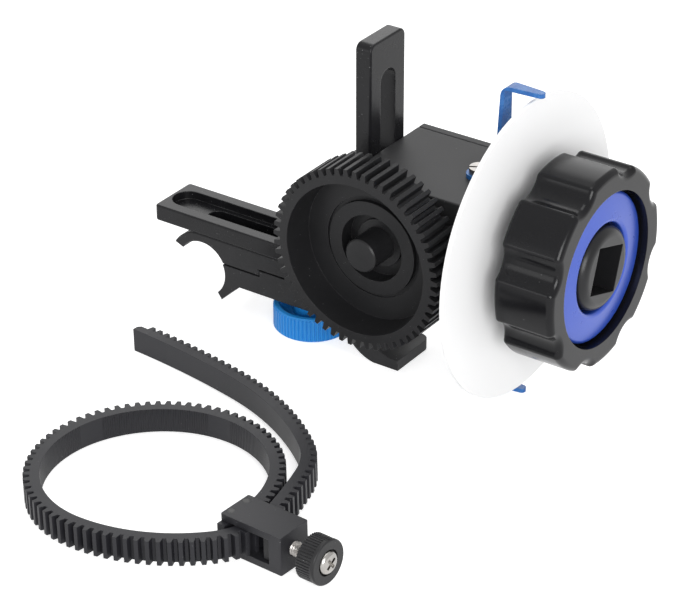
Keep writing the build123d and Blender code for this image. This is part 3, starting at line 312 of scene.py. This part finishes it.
class EffectGroup(Wiring):
    """A node group that more than one material can use."""

    def __init__(self, name: str, inputs: dict[str, str], outputs: dict[str, str]) -> None:
        """Start the group with its named sockets.

        Args:
            name: Name of the group.
            inputs: Name and type of each input.
            outputs: Name and type of each output.
        """
        super().__init__(bpy.data.node_groups.new(name, "ShaderNodeTree"))
        for side, sockets in (("INPUT", inputs), ("OUTPUT", outputs)):
            for label, kind in sockets.items():
                self.tree.interface.new_socket(label, in_out=side, socket_type="NodeSocket" + kind)
        self.given = self.tree.nodes.new("NodeGroupInput").outputs
        self.result = self.tree.nodes.new("NodeGroupOutput")

    def noise(self, detail: Value, **sockets: Value) -> bpy.types.NodeSocket:
        """Add a noise texture that follows the group's Vector and Scale.

        Args:
            detail: Detail of the noise.
            sockets: Any further inputs.

        Returns:
            The socket with the noise.
        """
        node = self.tree.nodes.new("ShaderNodeTexNoise")
        self.fill(node, {"Vector": self.given["Vector"], "Scale": self.given["Scale"],
                         "Detail": detail, **sockets})
        return node.outputs["Fac"]

    def from_centre(self) -> bpy.types.NodeSocket:
        """Return the place on the surface, measured from the group's Centre."""
        return self.vector("SUBTRACT", self.given["Vector"], self.given["Centre"]).outputs["Vector"]


class SharedEffects:
    """Every shared effect, each built once."""

    def __init__(self) -> None:
        """Build the effects."""
        self.patches = self._patches()
        self.specks = self._specks()
        self.edges = self._edges()
        self.grain = self._grain()
        self.turning = self._turning()
        self.inner_ribs = self._inner_ribs()

    @staticmethod
    def _patches() -> EffectGroup:
        """Make soft patches between two colours, with a roughness that follows them.

        Returns:
            The group.
        """
        group = EffectGroup(
            "soft_patches",
            {"Vector": "Vector", "Colour": "Color", "Worn Colour": "Color", "Scale": "Float",
             "Amount": "Float", "Roughness": "Float", "Spread": "Float"},
            {"Colour": "Color", "Roughness": "Float"})
        given = group.given
        patch = group.ramp(group.noise(PATCH_DETAIL, Roughness=PATCH_ROUGHNESS),
                           PATCH_LOW, PATCH_HIGH)
        colour = group.blend(group.math("MULTIPLY", patch, given["Amount"]),
                             given["Colour"], given["Worn Colour"])
        swing = group.math("MULTIPLY", patch, given["Spread"])
        roughness = group.math("ADD", given["Roughness"], swing)
        group.fill(group.result, {"Colour": colour, "Roughness": roughness})
        return group

    @staticmethod
    def _specks() -> EffectGroup:
        """Make sparse pale specks of dust and bare metal, laid over a colour.

        Returns:
            The group.
        """
        group = EffectGroup(
            "pale_specks",
            {"Vector": "Vector", "Colour": "Color", "Speck Colour": "Color", "Scale": "Float",
             "Share": "Float", "Reach": "Float"},
            {"Colour": "Color"})
        given = group.given
        cells = group.fill(group.tree.nodes.new("ShaderNodeTexVoronoi"),
                           {"Vector": given["Vector"], "Scale": given["Scale"]})
        chance = group.fill(group.tree.nodes.new("ShaderNodeSeparateColor"),
                            {"Color": cells.outputs["Color"]}).outputs
        chosen = group.math("LESS_THAN", chance["Red"], given["Share"])
        size = group.math("MULTIPLY", chance["Green"], given["Reach"])
        inside = group.math("LESS_THAN", cells.outputs["Distance"], size)
        mask = group.math("MULTIPLY", chosen, inside)
        strength = group.math("MULTIPLY", mask, chance["Blue"])
        colour = group.blend(strength, given["Colour"], given["Speck Colour"])
        group.fill(group.result, {"Colour": colour})
        return group

    @staticmethod
    def _edges() -> EffectGroup:
        """Make softly broken edges: their rounded normal, and a mask of the lighter line along
        them, partly wear and partly painted highlight.

        Returns:
            The group.
        """
        group = EffectGroup(
            "rounded_edges_sheen_and_wear",
            {"Vector": "Vector", "Radius": "Float", "Scale": "Float", "Wear": "Float"},
            {"Normal": "Vector", "Mask": "Float"})
        bevel = group.tree.nodes.new("ShaderNodeBevel")
        bevel.samples = EDGE_SAMPLES
        rounded = group.fill(bevel, {"Radius": group.given["Radius"]}).outputs["Normal"]
        flat = group.tree.nodes.new("ShaderNodeNewGeometry").outputs["Normal"]
        agree = group.vector("DOT_PRODUCT", rounded, flat).outputs["Value"]
        bend = group.ramp(agree, EDGE_FLAT, EDGE_SHARP)
        broken = group.ramp(group.noise(EDGE_NOISE_DETAIL), EDGE_NOISE_LOW, EDGE_NOISE_HIGH)
        sheen_and_rub_line = group.math("MULTIPLY", bend, broken)
        mask = group.math("MULTIPLY", sheen_and_rub_line, group.given["Wear"])
        group.fill(group.result, {"Normal": rounded, "Mask": mask})
        return group

    @staticmethod
    def _grain() -> EffectGroup:
        """Make even fine grain, as a height.

        Returns:
            The group.
        """
        group = EffectGroup("fine_grain",
                            {"Vector": "Vector", "Scale": "Float", "Detail": "Float"},
                            {"Height": "Float"})
        group.fill(group.result, {"Height": group.noise(group.given["Detail"])})
        return group

    @staticmethod
    def _turning() -> EffectGroup:
        """Make the rings that a lathe leaves round an axis, as a height.

        Returns:
            The group.
        """
        group = EffectGroup(
            "turning_rings",
            {"Vector": "Vector", "Centre": "Vector", "Across": "Vector", "Scale": "Float"},
            {"Height": "Float"})
        across = group.vector("MULTIPLY", group.from_centre(), group.given["Across"])
        reach = group.vector("LENGTH", across.outputs["Vector"]).outputs["Value"]
        noise = group.tree.nodes.new("ShaderNodeTexNoise")
        noise.noise_dimensions = "1D"
        group.fill(noise, {"W": reach, "Scale": group.given["Scale"], "Detail": TURNING_DETAIL})
        group.fill(group.result, {"Height": noise.outputs["Fac"]})
        return group

    @staticmethod
    def _inner_ribs() -> EffectGroup:
        """Make fine ribs across the inner face of a round strap, as a height.

        Returns:
            The group.
        """
        group = EffectGroup(
            "inner_ribs",
            {"Vector": "Vector", "Centre": "Vector", "Count": "Float", "Reach": "Float"},
            {"Height": "Float"})
        shift = group.from_centre()
        along = group.fill(group.tree.nodes.new("ShaderNodeSeparateXYZ"),
                           {"Vector": shift}).outputs
        angle = group.math("ARCTAN2", along["Y"], along["X"])
        wave = group.math("SINE", group.math("MULTIPLY", angle, group.given["Count"]))
        squares = group.math("ADD", group.math("POWER", along["X"], 2.0),
                             group.math("POWER", along["Y"], 2.0))
        near = group.math("LESS_THAN", group.math("SQRT", squares), group.given["Reach"])
        outward = group.vector("NORMALIZE", shift).outputs["Vector"]
        face = group.tree.nodes.new("ShaderNodeNewGeometry").outputs["Normal"]
        facing = group.vector("DOT_PRODUCT", outward, face).outputs["Value"]
        turned_in = group.math("LESS_THAN", facing, RIB_FACING)
        inside = group.math("MULTIPLY", near, turned_in)
        lands = group.math("SINE", group.math("MULTIPLY", angle, LAND_COUNT))
        ribbed = group.math("LESS_THAN", lands, LAND_LEVEL)
        shown = group.math("MULTIPLY", inside, ribbed)
        group.fill(group.result, {"Height": group.math("MULTIPLY", wave, shown)})
        return group


class Paintshop:
    """Makes each finish once and lays it on the nodes."""

    def __init__(self, effects: SharedEffects) -> None:
        """Keep the effects that every finish shares."""
        self.effects = effects
        self.made: dict[str, bpy.types.Material] = {}

    def material(self, finish: Finish) -> bpy.types.Material:
        """Return the material of a finish, making it at its first use.

        Args:
            finish: The finish to make.

        Returns:
            The Blender material.
        """
        if finish.name not in self.made:
            self.made[finish.name] = self._build(finish)
        return self.made[finish.name]

    def _build(self, finish: Finish) -> bpy.types.Material:
        """Build the material of one finish.

        Args:
            finish: The finish to make.

        Returns:
            The Blender material.
        """
        material = bpy.data.materials.new(finish.name)
        material.use_nodes = True
        material.diffuse_color = finish.colour
        wiring = Wiring(material.node_tree)
        place = wiring.tree.nodes.new("ShaderNodeTexCoord").outputs["Object"]
        patches = wiring.effect(self.effects.patches, {
            "Vector": place, "Colour": finish.colour, "Worn Colour": finish.worn_colour,
            "Scale": finish.wear_scale, "Amount": finish.wear, "Roughness": finish.roughness,
            "Spread": finish.rough_spread})
        edges = wiring.effect(self.effects.edges, {
            "Vector": place, "Radius": finish.edge_radius, "Scale": EDGE_NOISE_SCALE,
            "Wear": finish.edge_sheen_and_wear_amount})
        colour = patches.outputs["Colour"]
        if finish.specks > 0.0:
            colour = wiring.effect(self.effects.specks, {
                "Vector": place, "Colour": colour, "Speck Colour": SPECK_COLOUR,
                "Scale": SPECK_SCALE, "Share": finish.specks,
                "Reach": SPECK_REACH}).outputs["Colour"]
        # Edges lightened toward the edge tint: partly wear, partly painted highlight.
        if finish.edge_sheen_and_wear_amount > 0.0:
            colour = wiring.blend(edges.outputs["Mask"], colour, finish.sheen_and_worn_edge_tint)
        bump = wiring.fill(wiring.tree.nodes.new("ShaderNodeBump"), {
            "Distance": finish.relief, "Height": self._relief(wiring, finish, place),
            "Normal": edges.outputs["Normal"]})
        wiring.fill(wiring.tree.nodes["Principled BSDF"], {
            "Base Color": colour, "Roughness": patches.outputs["Roughness"],
            "Metallic": finish.metallic, "Specular IOR Level": finish.specular,
            "Normal": bump.outputs["Normal"]})
        return material

    def _relief(self, wiring: Wiring, finish: Finish,
                place: bpy.types.NodeSocket) -> bpy.types.NodeSocket:
        """Add the relief that suits a finish's texture.

        Args:
            wiring: Tree of the material.
            finish: The finish to make.
            place: Socket with the object's own coordinates.

        Returns:
            The socket with the height.
        """
        if finish.texture is Texture.TURNED:
            relief = wiring.effect(self.effects.turning, {
                "Vector": place, "Centre": finish.centre, "Across": finish.axis.value,
                "Scale": finish.grain_scale})
        elif finish.texture is Texture.RIBBED:
            relief = wiring.effect(self.effects.inner_ribs, {
                "Vector": place, "Centre": finish.centre, "Count": RIB_COUNT,
                "Reach": RIB_REACH})
        else:
            relief = wiring.effect(self.effects.grain, {
                "Vector": place, "Scale": finish.grain_scale, "Detail": GRAIN_DETAIL})
        return relief.outputs["Height"]

    def dress(self, node_name: str, finish: Finish) -> None:
        """Put a finish on a node of the frame.

        Args:
            node_name: Name of the node.
            finish: Finish it gets.
        """
        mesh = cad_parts[node_name].data
        mesh.materials.clear()
        mesh.materials.append(self.material(finish))
        LOG.info("%s: %s", node_name, finish.name)


@dataclass
class SubAssembly:
    """A group of pieces with the finish of each."""

    shop: Paintshop
    finishes: dict[str, Finish] = field(default_factory=dict)

    def dress(self) -> None:
        """Put each piece's finish on it."""
        for node_name, finish in self.finishes.items():
            self.shop.dress(node_name, finish)


@dataclass
class RodClamp(SubAssembly):
    """Jaws, clamp bolt and blue knob."""

    finishes: dict[str, Finish] = field(default_factory=lambda: {
        "upper_jaw": BLASTED_BLACK,
        "lower_jaw": BLASTED_BLACK,
        "clamp_bolt": SHAFT_BLACK,
        "clamp_washer": PLAIN_STEEL,
        "clamp_knob": KNOB_BLUE,
    })


@dataclass
class Bracket(SubAssembly):
    """Slotted L bracket and the height lock behind it."""

    finishes: dict[str, Finish] = field(default_factory=lambda: {
        "l_bracket": PLATE_BLACK,
        "height_stud": PLAIN_STEEL,
        "height_washer": PLAIN_STEEL,
        "height_knob": KNOB_BLACK,
    })


@dataclass
class Gearbox(SubAssembly):
    """Gearbox block, its cover, bearings and pointers."""

    finishes: dict[str, Finish] = field(default_factory=lambda: {
        "gearbox_housing": BOX_BLACK,
        "gearbox_cover": BOX_BLACK,
        "cover_screws": PLAIN_STEEL,
        "drive_bearing_front": BRONZE,
        "drive_bearing_rear": BRONZE,
        "handwheel_bearing_inner": BRONZE,
        "handwheel_bearing_outer": BRONZE,
        "pointer_upper": POINTER_BLUE,
        "pointer_lower": POINTER_BLUE,
        "pointer_screws": SCREW_STEEL,
    })


@dataclass
class FocusGearTrain(SubAssembly):
    """Focus gear, its shaft and bevel gear."""

    finishes: dict[str, Finish] = field(default_factory=lambda: {
        "focus_gear": GEAR_BLACK,
        "gear_retaining_ring": SHAFT_BLACK,
        "drive_shaft": SHAFT_BLACK,
        "drive_bevel": BRASS,
    })


@dataclass
class Handwheel(SubAssembly):
    """Handwheel, marking disc and their shaft."""

    finishes: dict[str, Finish] = field(default_factory=lambda: {
        "handwheel_grip": GRIP_BLACK,
        "handwheel_core": GRIP_BLACK,
        "accent_ring": ACCENT_BLUE,
        "crank_socket": SOCKET_BLACK,
        "handwheel_screw": SHAFT_BLACK,
        "handwheel_shaft": PLAIN_STEEL,
        "handwheel_bevel": BRASS,
        "disc_hub": KNOB_BLACK,
        "marking_disc": DISC_WHITE,
    })


@dataclass
class LensGearRing(SubAssembly):
    """Toothed strap, its clamp block and clamp screw."""

    finishes: dict[str, Finish] = field(default_factory=lambda: {
        "gear_strap": STRAP_GREY,
        "strap_block": BLOCK_BLACK,
        "strap_pins": PIN_STEEL,
        "strap_plate": PLATE_DARK,
        "strap_screw": SCREW_STEEL,
        "strap_knob": KNOB_BLACK,
        "strap_cap": CHROME,
    })


def pointed(place: Point, aim: Vector) -> Matrix:
    """Return the placement of a lamp or camera that stands at a place and points along aim."""
    return Matrix.Translation(place) @ aim.to_track_quat("-Z", "Y").to_matrix().to_4x4()


@dataclass(frozen=True)
class SoftBox:
    """A square lamp with soft edges, turned to the middle of the object."""

    name: str
    place: Point
    width: float
    power: float
    target: Point = (0.055, -0.03, 0.02)

    def build(self) -> None:
        """Add the lamp to the scene."""
        lamp = bpy.data.lights.new(self.name, "AREA")
        lamp.shape = "SQUARE"
        lamp.size = self.width
        lamp.energy = self.power
        holder = bpy.data.objects.new(self.name, lamp)
        holder.matrix_world = pointed(self.place, Vector(self.target) - Vector(self.place))
        bpy.context.scene.collection.objects.link(holder)
        LOG.info("%s: %.1f W", self.name, self.power)


@dataclass(frozen=True)
class Floor:
    """Pale floor that keeps the object's shadow."""

    height: float
    half_width: float = 6.0
    brightness: float = 0.80
    lift: float = 0.64
    roughness: float = 0.9
    specular: float = 0.1

    def build(self) -> None:
        """Lay the floor."""
        mesh = bpy.data.meshes.new("floor")
        half = self.half_width
        mesh.from_pydata([(-half, -half, 0), (half, -half, 0), (half, half, 0), (-half, half, 0)],
                         [], [(0, 1, 2, 3)])
        mesh.materials.append(self._material())
        floor = bpy.data.objects.new("floor", mesh)
        floor.location.z = self.height
        bpy.context.scene.collection.objects.link(floor)
        LOG.info("floor at %.4f m", self.height)

    def _material(self) -> bpy.types.Material:
        """Make the floor's material, lifted to white where it is seen.

        Returns:
            The Blender material.
        """
        material = bpy.data.materials.new("studio_floor")
        material.use_nodes = True
        wiring = Wiring(material.node_tree)
        lift = wiring.math("MULTIPLY", backdrop_rays(wiring), self.lift)
        wiring.fill(wiring.tree.nodes["Principled BSDF"], {
            "Base Color": grey(self.brightness), "Roughness": self.roughness,
            "Specular IOR Level": self.specular, "Emission Color": grey(1.0),
            "Emission Strength": lift})
        return material


@dataclass(frozen=True)
class Sky:
    """Plain light from all round, with white behind the object."""

    strength: float = 0.54
    white: float = 1.0

    def build(self) -> None:
        """Set the world's light."""
        world = bpy.data.worlds.new("studio")
        bpy.context.scene.world = world
        world.use_nodes = True
        wiring = Wiring(world.node_tree)
        level = wiring.fill(wiring.tree.nodes.new("ShaderNodeMapRange"), {
            "Value": backdrop_rays(wiring), "To Min": self.strength, "To Max": self.white})
        wiring.fill(wiring.tree.nodes["Background"],
                    {"Color": grey(1.0), "Strength": level.outputs["Result"]})
        LOG.info("sky at %.2f", self.strength)


@dataclass(frozen=True)
class PhotoCamera:
    """The camera that the photograph was taken with, as fitted to it."""

    place: Point = (0.4048, -0.5261, 0.3614)
    azimuth: float = 34.61
    elevation: float = 29.46
    focal_pixels: float = 2876.0
    picture_width: float = 700.0
    sensor_mm: float = 36.0
    clip_start: float = 0.01
    clip_end: float = 50.0

    def build(self) -> None:
        """Set the camera where the photograph was taken from."""
        lens = bpy.data.cameras.new("camera")
        lens.sensor_width = self.sensor_mm
        lens.lens = self.focal_pixels / self.picture_width * self.sensor_mm
        lens.clip_start = self.clip_start
        lens.clip_end = self.clip_end
        camera = bpy.data.objects.new("camera", lens)
        turn, drop = math.radians(self.azimuth), math.radians(self.elevation)
        aim = Vector((-math.sin(turn) * math.cos(drop), math.cos(turn) * math.cos(drop),
                      -math.sin(drop)))
        camera.matrix_world = pointed(self.place, aim)
        bpy.context.scene.collection.objects.link(camera)
        bpy.context.scene.camera = camera
        LOG.info("camera: %.0f mm", lens.lens)


def backdrop_rays(wiring: Wiring) -> bpy.types.NodeSocket:
    """Tell the rays that show the backdrop: camera, mirror and glass rays.

    Args:
        wiring: Tree of the material or world that asks.

    Returns:
        A socket that is 1 for those rays and 0 for the light that falls on the object.
    """
    rays = wiring.tree.nodes.new("ShaderNodeLightPath").outputs
    seen = wiring.math("ADD", rays["Is Camera Ray"], rays["Is Glossy Ray"], clamp=True)
    return wiring.math("ADD", seen, rays["Is Transmission Ray"], clamp=True)


LAMPS = (
    SoftBox("lamp_above", place=(0.05, 0.10, 1.00), width=0.5, power=2.5),
    SoftBox("lamp_behind", place=(-0.58, 0.86, 0.66), width=0.7, power=2.4),
    SoftBox("lamp_side", place=(0.83, -0.80, 0.46), width=0.6, power=10.4),
    SoftBox("lamp_front", place=(-0.35, -0.95, 0.30), width=0.4, power=1.0),
)


def build_studio() -> None:
    """Build the floor, the sky, the lamps and the camera."""
    for item in (Floor(height=CAD_BOX[0][2]), Sky(), *LAMPS, PhotoCamera()):
        item.build()
    bpy.context.scene.view_settings.view_transform = "Standard"


def main() -> None:
    """Dress every sub-assembly and set up the studio."""
    logging.basicConfig(level=logging.INFO)
    shop = Paintshop(SharedEffects())
    for assembly in (RodClamp(shop), Bracket(shop), Gearbox(shop), FocusGearTrain(shop),
                     Handwheel(shop), LensGearRing(shop)):
        assembly.dress()
    build_studio()


if __name__ == "__main__":
    main()
